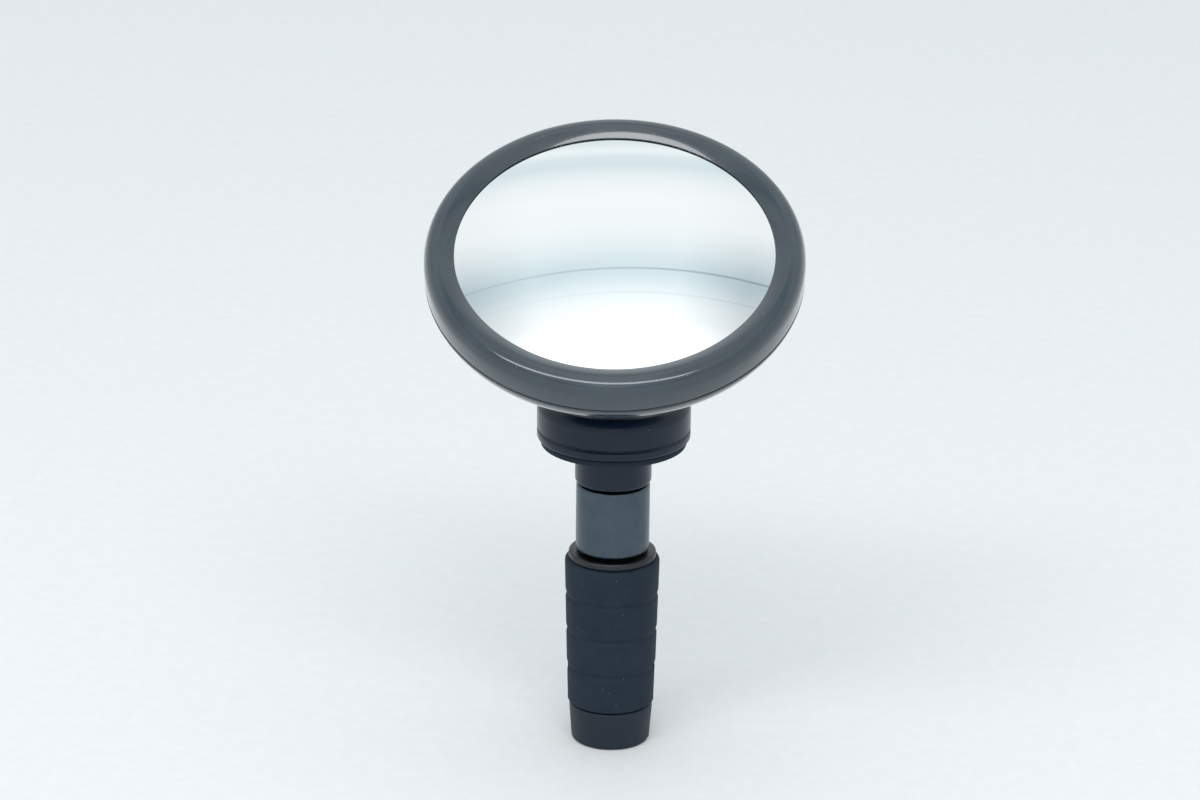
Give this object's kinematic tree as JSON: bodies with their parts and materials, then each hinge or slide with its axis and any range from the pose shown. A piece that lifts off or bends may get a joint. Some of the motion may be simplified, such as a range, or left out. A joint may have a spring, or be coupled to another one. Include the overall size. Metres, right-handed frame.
{
  "type": "bicycle bar-end mirror",
  "caption": "Round convex bicycle mirror on a ball joint, with a lean, swivel and spin, held in a handlebar's open end by an expanding rubber plug.",
  "frame": {"origin": "centre of the plug's inner end face, on the plug's axis; the seat on the handlebar's end is 50 mm above it", "axes": "+Z along the plug's axis, out of the bar and towards the mirror; the head leans towards -Y at rest, by turning about +X"},
  "size_m": [0.058, 0.053, 0.0977],
  "materials": {
    "mirror": "polished",
    "gloss_black": "gloss",
    "matte_black": "matte",
    "nylon": "satin",
    "rubber": "matte",
    "foam": "matte",
    "zinc_steel": "satin",
    "black_steel": "satin",
    "dark_aluminium": "satin",
    "brass": "satin"
  },
  "bodies": {
    "plug": {"end_cap": "gloss_black", "bar_end_gasket": "rubber", "spacer_tube": "dark_aluminium", "thrust_washer": "black_steel", "rubber_sleeve": "rubber"},
    "stud": {"ball_stud": "zinc_steel", "spring_washer": "zinc_steel"},
    "wedge": {"wedge_nut": "matte_black", "insert_nut": "brass", "end_cover": "matte_black"},
    "neck": {"neck_ring": "rubber"},
    "friction": {"friction_ring": "rubber"},
    "head": {"mirror_glass": "mirror", "foam_pad": "foam", "carrier_plate": "matte_black", "bezel_ring": "gloss_black", "housing": "gloss_black", "ball_socket": "nylon", "socket_screw_1": "zinc_steel", "socket_screw_2": "zinc_steel", "socket_screw_3": "zinc_steel"},
    "collar": {"lock_collar": "matte_black"}
  },
  "joints": [
    {"name": "stud_turn", "type": "hinge", "parent": "plug", "child": "stud", "pos_m": [0, 0, 0.05], "axis": [0, 0, -1], "range_deg": [0, 1080]},
    {"name": "wedge_slide", "type": "slide", "parent": "plug", "child": "wedge", "axis": [0, 0, 1], "range_m": [0, 0.0025], "deforming": ["rubber_sleeve"]},
    {"name": "ball_swivel", "type": "hinge", "parent": "stud", "child": "neck", "pos_m": [0, 0, 0.069], "axis": [0, 0, 1], "continuous": true},
    {"name": "ball_lean", "type": "hinge", "parent": "neck", "child": "friction", "pos_m": [0, 0, 0.069], "axis": [1, 0, 0], "range_deg": [-60, 4]},
    {"name": "ball_spin", "type": "hinge", "parent": "friction", "child": "head", "pos_m": [0, 0, 0.069], "axis": [0, -0.4695, 0.8829], "continuous": true},
    {"name": "collar_turn", "type": "hinge", "parent": "head", "child": "collar", "pos_m": [0, 0, 0.069], "axis": [0, -0.4695, 0.8829], "range_deg": [-180, 0]}
  ],
  "couplings": [
    {"joint": "wedge_slide", "follows": "stud_turn", "m_per_rad": 0.00012732}
  ]
}
